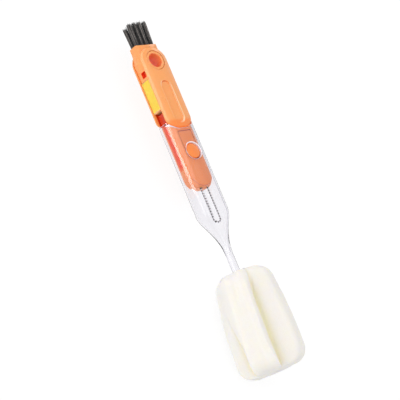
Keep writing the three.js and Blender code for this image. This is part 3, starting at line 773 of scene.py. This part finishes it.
def foam_stations():
    """The foam's rings from the bottom of its bore to its far end: places along it, points and depths."""
    bore_end = STEM_END + BORE_PAST - FOAM_START
    mouth = STEM_RADIUS + STEM_ROOM
    wide = BARB_RADIUS + BARB_ROOM
    rim = foam_radius(0)
    top = foam_ring(0, rim, rim / foam_full(0))
    stations = []
    for run, radius in ((bore_end, wide), (BARB_START, wide), (NECK_END, mouth), (NECK_START, mouth)):
        stations.append((run, [(spot.normalized() * radius, 0.0) for spot, depth in top]))
    for step in range(1, MOUTH_RINGS):
        share = step / MOUTH_RINGS
        radius = mouth + (rim - mouth) * share
        lobed = smooth_step(0.0, 0.7, share)
        ring = []
        for spot, depth in top:
            ring.append(((spot.normalized() * radius).lerp(spot * radius / rim, lobed), depth * lobed))
        stations.append((MOUTH_SINK * (1 - share) ** 2, ring))
    runs = []
    for step in range(ROUND_RINGS):
        runs.append(FOAM_TOP_ROUND * (1 - math.cos(step / ROUND_RINGS * math.pi / 2)))
    straight = FOAM_LENGTH - FOAM_TOP_ROUND - FOAM_END_ROUND
    for step in range(STRAIGHT_RINGS):
        runs.append(FOAM_TOP_ROUND + straight * step / STRAIGHT_RINGS)
    for step in range(ROUND_RINGS + 1):
        runs.append(FOAM_LENGTH - FOAM_END_ROUND * (1 - math.sin(step / ROUND_RINGS * math.pi / 2)))
    for run in runs:
        radius = foam_radius(run)
        stations.append((run, foam_ring(run, radius, radius / foam_full(run))))
    end = stations[-1][1]
    for step in range(1, END_RINGS):
        share = 1 - step / END_RINGS
        run = FOAM_LENGTH + END_BULGE * (1 - share * share)
        stations.append((run, [(spot * share, depth * share) for spot, depth in end]))
    return stations


def foam_ruffle(spot):
    """How far the foam's skin swells or sinks at a point, in metres."""
    place = spot / MM
    swell = 0.3 * noise.noise(place / 15) + 0.12 * noise.noise(place / 4)
    pits = 0.12 * max(noise.noise(place / 1.3) - 0.1, 0)
    return (swell - pits) * MM


def make_foam():
    points, depths, faces = [], [], []
    stations = foam_stations()
    for run, ring in stations:
        lean = LEAN_WAY * (LEAN_TOP + (LEAN_END - LEAN_TOP) * run / FOAM_LENGTH)
        for spot, depth in ring:
            held = smooth_step(STEM_RADIUS + 1, STEM_RADIUS + 8, spot.length)
            spot = spot + lean * held
            dip = END_DIP * depth * smooth_step(0.86, 1.0, run / FOAM_LENGTH)
            points.append(at(FOAM_START + run - dip, spot.y, max(spot.z, FOAM_FLOOR)))
            depths.append(depth)
    for row in range(len(stations) - 1):
        faces += ring_faces(row * FOAM_POINTS, (row + 1) * FOAM_POINTS, FOAM_POINTS)
    last_row = (len(stations) - 1) * FOAM_POINTS
    for first, run in ((0, stations[0][0]), (last_row, stations[-1][0])):
        points.append(at(FOAM_START + run))
        depths.append(0.0)
        hub = len(points) - 1
        for i in range(FOAM_POINTS):
            faces.append((first + i, first + (i + 1) % FOAM_POINTS, hub))
    values = {"groove": depths}
    piece = new_piece("foam_sponge", points, faces, FOAM, "handle", values, foam_ruffle)
    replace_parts(piece, "foam_head")


make_foam()


# The bristles: a row of tufts of fine strands in a thin pad
STRANDS = 130
STRAND_RADIUS = 0.115
STRAND_SIDES = 5
STRAND_TIP = 0.55
CLUMP_PITCH = 1.1
GOLDEN_ANGLE = math.pi * (3 - math.sqrt(5))


def strand_path(root_y, root_z, row_y, row_z, chance):
    """The points of one strand from its folded root to its tip."""
    length = BRISTLE_LENGTH - BRISTLE_RAGGED * chance.random() ** 1.2
    length -= SIDE_SHORT * smooth_step(2, -8, row_y) + (REAR_SHORT if row_z < 0 else 0)
    if chance.random() < STRAY_SHARE:
        length += chance.uniform(*STRAY_LENGTH)
    last = (TUFT_COLUMNS - 1) / 2 * TUFT_PITCH
    tip_y = (row_y + root_y) * (1 + SPLAY_ACROSS / last) + chance.gauss(0, SCATTER)
    tip_z = (row_z + root_z) * (1 + SPLAY_DEEP / ROW_OFFSET) + chance.gauss(0, SCATTER)
    bow_y = chance.gauss(0, SCATTER)
    bow_z = chance.gauss(0, SCATTER)
    path = [Vector((-ROOT_END, row_y + root_y * 0.7, row_z + root_z * 0.7))]
    for share in (0.0, 0.3, 0.6, 0.85, 1.0):
        bow = math.sin(share * math.pi)
        y = row_y + root_y + (tip_y - row_y - root_y) * share ** 1.3 + bow_y * bow
        z = row_z + root_z + (tip_z - row_z - root_z) * share ** 1.3 + bow_z * bow
        path.append(Vector((-SEAT_FLOOR - (length + BLOCK_TOP - SEAT_FLOOR) * share, y, z)))
    return path


def add_tube(points, faces, path, radii, sides):
    """A closed round tube along a path of the drawing."""
    first = len(points)
    count = len(path)
    for i, spot in enumerate(path):
        ahead = path[min(i + 1, count - 1)] - path[max(i - 1, 0)]
        ahead.normalize()
        side = ahead.cross(Vector((0, 0, 1)))
        if side.length < 0.1:
            side = ahead.cross(Vector((0, 1, 0)))
        side.normalize()
        up = side.cross(ahead)
        for corner in range(sides):
            angle = 2 * math.pi * corner / sides
            spoke = side * math.cos(angle) + up * math.sin(angle)
            points.append(at(*(spot + spoke * radii[i])))
    for i in range(count - 1):
        faces += ring_faces(first + i * sides, first + (i + 1) * sides, sides)
    faces.append(tuple(range(first, first + sides)))
    faces.append(tuple(range(len(points) - sides, len(points))))


def add_block(points, faces, low, high):
    """A plain block between two corners of the drawing."""
    first = len(points)
    for x in (low[0], high[0]):
        for y, z in ((low[1], low[2]), (high[1], low[2]), (high[1], high[2]), (low[1], high[2])):
            points.append(at(x, y, z))
    faces += ring_faces(first, first + 4, 4)
    faces.append((first, first + 1, first + 2, first + 3))
    faces.append((first + 4, first + 5, first + 6, first + 7))


def make_bristles(name, row, seed):
    """One row of tufts, the front one (1) or the rear one (-1), with a shade for every strand, in which
    shade is painted between the tufts and on the inward strands.
    """
    chance = random.Random(seed)
    points, faces, shades = [], [], []
    inner, outer = sorted((PAD_GAP * row, SEAT_HALF_DEPTH * row))
    pad_low = (-BLOCK_TOP + PAD_SINK, -SEAT_HALF_WIDTH, inner)
    pad_high = (-SEAT_FLOOR, SEAT_HALF_WIDTH, outer)
    add_block(points, faces, pad_low, pad_high)
    shades += [0.0] * len(points)
    for column in range(TUFT_COLUMNS):
        row_y = (column - (TUFT_COLUMNS - 1) / 2) * TUFT_PITCH
        for number in range(STRANDS):
            reach = (TUFT_RADIUS - STRAND_RADIUS) * math.sqrt((number + 0.5) / STRANDS)
            angle = number * GOLDEN_ANGLE + column
            root_y = reach * math.cos(angle) + chance.uniform(-0.03, 0.03)
            root_z = reach * math.sin(angle) + chance.uniform(-0.03, 0.03)
            path = strand_path(root_y, root_z, row_y, row * ROW_OFFSET, chance)
            radii = [STRAND_RADIUS] * (len(path) - 1) + [STRAND_RADIUS * STRAND_TIP]
            before = len(points)
            add_tube(points, faces, path, radii, STRAND_SIDES)
            # Painted shade: strands at the sides of a tuft and strands that face inwards are darker, so
            # the gaps between tufts read dark; the end tufts stay lighter on their outer side
            beside = smooth_step(0.45, 0.85, abs(root_y) / TUFT_RADIUS)
            outward = smooth_step(-0.3, 0.7, root_z * row / TUFT_RADIUS) * (1 - 0.97 * beside)
            if column in (0, TUFT_COLUMNS - 1):
                end_side = root_y * math.copysign(1, row_y) / TUFT_RADIUS
                outward = max(outward, 0.75 * smooth_step(0.1, 0.7, end_side))
            clump = 0.5 + 0.5 * math.cos(2 * math.pi * root_y / CLUMP_PITCH + 2 * column)
            shades += [chance.uniform(0.35, 1.0) * outward * clump ** 2] * (len(points) - before)
    return new_piece(name, points, faces, NYLON, "head", {"strand": shades})


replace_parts(make_bristles("bristle_tufts_front", 1, 11), "bristles_front_row")
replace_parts(make_bristles("bristle_tufts_rear", -1, 23), "bristles_rear_row")


# The wire: two strands laid round each other along a hairpin with hooked ends
HOOK_STEPS = 6
TURN_STEPS = 5
LEG_STEPS = 190
BEND_STEPS = 54


def wire_path():
    """Points along the middle of the pair, from one hook to the other."""
    straight_end = WIRE_TIP - 2 * WIRE_RADIUS - LEG_OFFSET
    spots = []

    def straight(x0, y0, x1, y1, steps):
        for i in range(steps):
            share = i / steps
            spots.append(Vector((x0 + (x1 - x0) * share, y0 + (y1 - y0) * share)))

    def arc(x, y, radius, start, end, steps):
        for i in range(steps):
            angle = start + (end - start) * i / steps
            spots.append(Vector((x + radius * math.cos(angle), y + radius * math.sin(angle))))

    outer = LEG_OFFSET + HOOK_LENGTH
    inner = LEG_OFFSET + HOOK_TURN
    leg_start = WIRE_ROOT + HOOK_TURN
    straight(WIRE_ROOT, -outer, WIRE_ROOT, -inner, HOOK_STEPS)
    arc(leg_start, -inner, HOOK_TURN, math.pi, math.pi / 2, TURN_STEPS)
    straight(leg_start, -LEG_OFFSET, straight_end, -LEG_OFFSET, LEG_STEPS)
    arc(straight_end, 0, LEG_OFFSET, -math.pi / 2, math.pi / 2, BEND_STEPS)
    straight(straight_end, LEG_OFFSET, leg_start, LEG_OFFSET, LEG_STEPS)
    arc(leg_start, inner, HOOK_TURN, -math.pi / 2, -math.pi, TURN_STEPS)
    straight(WIRE_ROOT, inner, WIRE_ROOT, outer, HOOK_STEPS + 1)
    return spots


def make_wire():
    """Both strands; crown, which the wire's painted highlight follows, is 1 where one lies in front of
    the other and 0 where they lie abreast.
    """
    middle = wire_path()
    points, faces, crowns = [], [], []
    for phase in (0.0, math.pi):
        path = []
        run = 0.0
        for i, spot in enumerate(middle):
            if i:
                run += (spot - middle[i - 1]).length
            ahead = middle[min(i + 1, len(middle) - 1)] - middle[max(i - 1, 0)]
            ahead.normalize()
            angle = 2 * math.pi * run / WIRE_LAY + phase
            aside = Vector((-ahead.y, ahead.x)) * math.cos(angle) * WIRE_RADIUS
            lift = math.sin(angle) * WIRE_RADIUS
            path.append(Vector((spot.x + aside.x, spot.y + aside.y, WIRE_LEVEL + lift)))
            crowns += [abs(math.sin(angle))] * WIRE_SIDES
        add_tube(points, faces, path, [WIRE_RADIUS * WIRE_FILL] * len(path), WIRE_SIDES)
    piece = new_piece("twisted_wire", points, faces, STEEL, "tool", {"crown": crowns})
    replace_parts(piece, "wire_loop")


make_wire()


# A white bead round the button hole, a painted highlight for its bright crescent: broad on the side away
# from the foam and thin on the other
BRIM_POINTS = 96
BRIM_SIDES = 10
BRIM_THIN = 0.08
BRIM_BROAD = 0.34
BRIM_FLAT = 0.6
BRIM_WAY = Vector((-0.7, 0.71, 0))


def make_brim():
    sleeve_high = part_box("clear_handle")[1]
    level = (sleeve_high.z - AXIS_Z) / MM
    points, faces = [], []
    for i in range(BRIM_POINTS):
        angle = 2 * math.pi * i / BRIM_POINTS
        outward = Vector((math.cos(angle), math.sin(angle), 0))
        facing = outward.dot(BRIM_WAY)
        thick = BRIM_THIN + (BRIM_BROAD - BRIM_THIN) * smooth_step(-0.5, 0.4, facing)
        for corner in range(BRIM_SIDES):
            turn = 2 * math.pi * corner / BRIM_SIDES
            spot = outward * (HOLE_RADIUS + thick + thick * math.cos(turn))
            points.append(at(BUTTON_AT + spot.x, spot.y, level + BRIM_FLAT * thick * math.sin(turn)))
    for i in range(BRIM_POINTS):
        faces += ring_faces(i * BRIM_SIDES, (i + 1) % BRIM_POINTS * BRIM_SIDES, BRIM_SIDES)
    new_piece("button_hole_highlight", points, faces, WHITE_HIGHLIGHT, "handle")


make_brim()


# Stage: a pale floor that keeps a faint shadow, soft lamps and the photograph's camera, in metres
FLOOR_HALF = 2.5
FLOOR_DROP = 0.2 * MM
FLOOR_GLOW = 0.84
AMBIENT = 0.82
FLAG_HALF = 0.25
FLAG_HEIGHT = 0.3


def seen_directly(tree):
    """1 for rays from the camera, mirrors and clear plastic, 0 for the rest."""
    rays = add(tree, "ShaderNodeLightPath")
    seen = larger(tree, rays.outputs["Is Camera Ray"], rays.outputs["Is Glossy Ray"])
    return larger(tree, seen, rays.outputs["Is Transmission Ray"])


def make_floor():
    half = FLOOR_HALF
    mesh = bpy.data.meshes.new("floor")
    corners = [(-half, -half, 0), (half, -half, 0), (half, half, 0), (-half, half, 0)]
    mesh.from_pydata(corners, [], [(0, 1, 2, 3)])
    floor = bpy.data.objects.new("floor", mesh)
    bpy.context.scene.collection.objects.link(floor)
    floor.location.z = -FLOOR_DROP
    made = bpy.data.materials.new("floor_look")
    made.use_nodes = True
    tree = made.node_tree
    tree.nodes.clear()
    seen = seen_directly(tree)
    paint = blend_colours(tree, seen, (0.9, 0.9, 0.9, 1), (0.2, 0.2, 0.2, 1))
    matt = add(tree, "ShaderNodeBsdfDiffuse", {"Color": paint})
    glow = add(tree, "ShaderNodeEmission", {"Strength": times(tree, seen, FLOOR_GLOW)})
    both = add(tree, "ShaderNodeAddShader", {0: matt.outputs[0], 1: glow.outputs[0]})
    add(tree, "ShaderNodeOutputMaterial", {"Surface": both.outputs[0]})
    mesh.materials.append(made)


def make_world():
    """A white backdrop that gives the pieces a little less light than it shows."""
    world = bpy.data.worlds.new("studio")
    world.use_nodes = True
    tree = world.node_tree
    backdrop = tree.nodes["Background"]
    backdrop.inputs["Color"].default_value = (1, 1, 1, 1)
    inputs = {"Value": seen_directly(tree), "To Min": AMBIENT, "To Max": 1.0}
    level = add(tree, "ShaderNodeMapRange", inputs)
    tree.links.new(level.outputs["Result"], backdrop.inputs["Strength"])
    bpy.context.scene.world = world


def make_lamp(
    name, direction, distance, width, height, power,
    highlight=False, along=VIEW_AIM, beam=180, only=None,
):
    """A soft box that faces a place on the brush. A highlight card only shows in glossy surfaces."""
    lamp = bpy.data.lights.new(name, "AREA")
    lamp.shape = "RECTANGLE"
    lamp.size = width
    lamp.size_y = height
    lamp.energy = power
    lamp.spread = math.radians(beam)
    stand = bpy.data.objects.new(name, lamp)
    bpy.context.scene.collection.objects.link(stand)
    aim = at(along)
    heading = Vector(direction).normalized()
    stand.location = aim + heading * distance
    stand.rotation_euler = heading.to_track_quat("Z", "Y").to_euler()
    if highlight:
        stand.visible_diffuse = False
        stand.visible_transmission = False
    if only:
        lit = bpy.data.collections.new(name + "_lit")
        lit.objects.link(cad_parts[only])
        stand.light_linking.receiver_collection = lit


def make_flag(name, across, tone):
    """A grey card beside the brush that draws the edges of the clear plastic and shows nowhere else."""
    mesh = bpy.data.meshes.new(name)
    half, top = FLAG_HALF, FLAG_HEIGHT
    corners = [(-half, 0, 0), (half, 0, 0), (half, 0, top), (-half, 0, top)]
    mesh.from_pydata(corners, [], [(0, 1, 2, 3)])
    made = bpy.data.materials.new(name + "_look")
    made.use_nodes = True
    shader = made.node_tree.nodes["Principled BSDF"]
    shader.inputs["Base Color"].default_value = (tone, tone * 0.96, tone * 1.06, 1)
    mesh.materials.append(made)
    card = bpy.data.objects.new(name, mesh)
    bpy.context.scene.collection.objects.link(card)
    card.location = (0, across, 0)
    card.visible_camera = False
    card.visible_diffuse = False
    card.visible_glossy = False
    card.visible_shadow = False


def make_camera():
    lens = bpy.data.cameras.new("camera")
    lens.sensor_width = 36
    lens.lens = lens.sensor_width * VIEW_DISTANCE / VIEW_FRAME
    lens.shift_x, lens.shift_y = VIEW_SHIFT
    lens.clip_start = 0.01
    lens.clip_end = 50
    turn_cos, turn_sin = math.cos(VIEW_TURN), math.sin(VIEW_TURN)
    tilt_cos, tilt_sin = math.cos(VIEW_TILT), math.sin(VIEW_TILT)
    across = Vector((0, turn_cos, turn_sin))
    upward = Vector((-tilt_cos, -turn_sin * tilt_sin, turn_cos * tilt_sin))
    back = Vector((tilt_sin, -turn_sin * tilt_cos, turn_cos * tilt_cos))
    right = across * math.cos(VIEW_ROLL) - upward * math.sin(VIEW_ROLL)
    up = across * math.sin(VIEW_ROLL) + upward * math.cos(VIEW_ROLL)
    place = Matrix((right, up, back)).transposed().to_4x4()
    place.translation = at(VIEW_AIM) + back * VIEW_DISTANCE * MM
    camera = bpy.data.objects.new("camera", lens)
    bpy.context.scene.collection.objects.link(camera)
    camera.matrix_world = place
    bpy.context.scene.camera = camera


make_floor()
make_world()
make_lamp("soft_box_top", (-0.15, -0.3, 0.94), 1.3, 1.0, 1.0, 2.2)
make_lamp("soft_box_left", (-0.2, -0.94, 0.24), 1.1, 1.0, 0.45, 2.5)
make_lamp("highlight_card_left", (-0.23, -0.84, 0.42), 1.1, 0.8, 0.6, 2.6, highlight=True)
make_lamp("highlight_card_corner", (-0.75, -0.5, 0.42), 1.1, 0.7, 0.6, 3.4, highlight=True)
make_lamp("highlight_card_end", (-0.9, 0.15, 0.32), 1.1, 0.7, 0.6, 1.5, highlight=True)
make_lamp("highlight_card_far", (-0.72, 0.66, 0.24), 1.1, 0.7, 0.5, 1.4, highlight=True)
make_lamp(
    "highlight_card_sleeve", (-0.26, -0.97, 0.05), 0.085, 0.085, 0.075, 0.032,
    highlight=True, along=80, beam=80, only="clear_handle",
)
make_flag("flag_left", -0.25, 0.34)
make_flag("flag_right", 0.25, 0.55)
make_camera()
bpy.context.scene.view_settings.view_transform = "Standard"
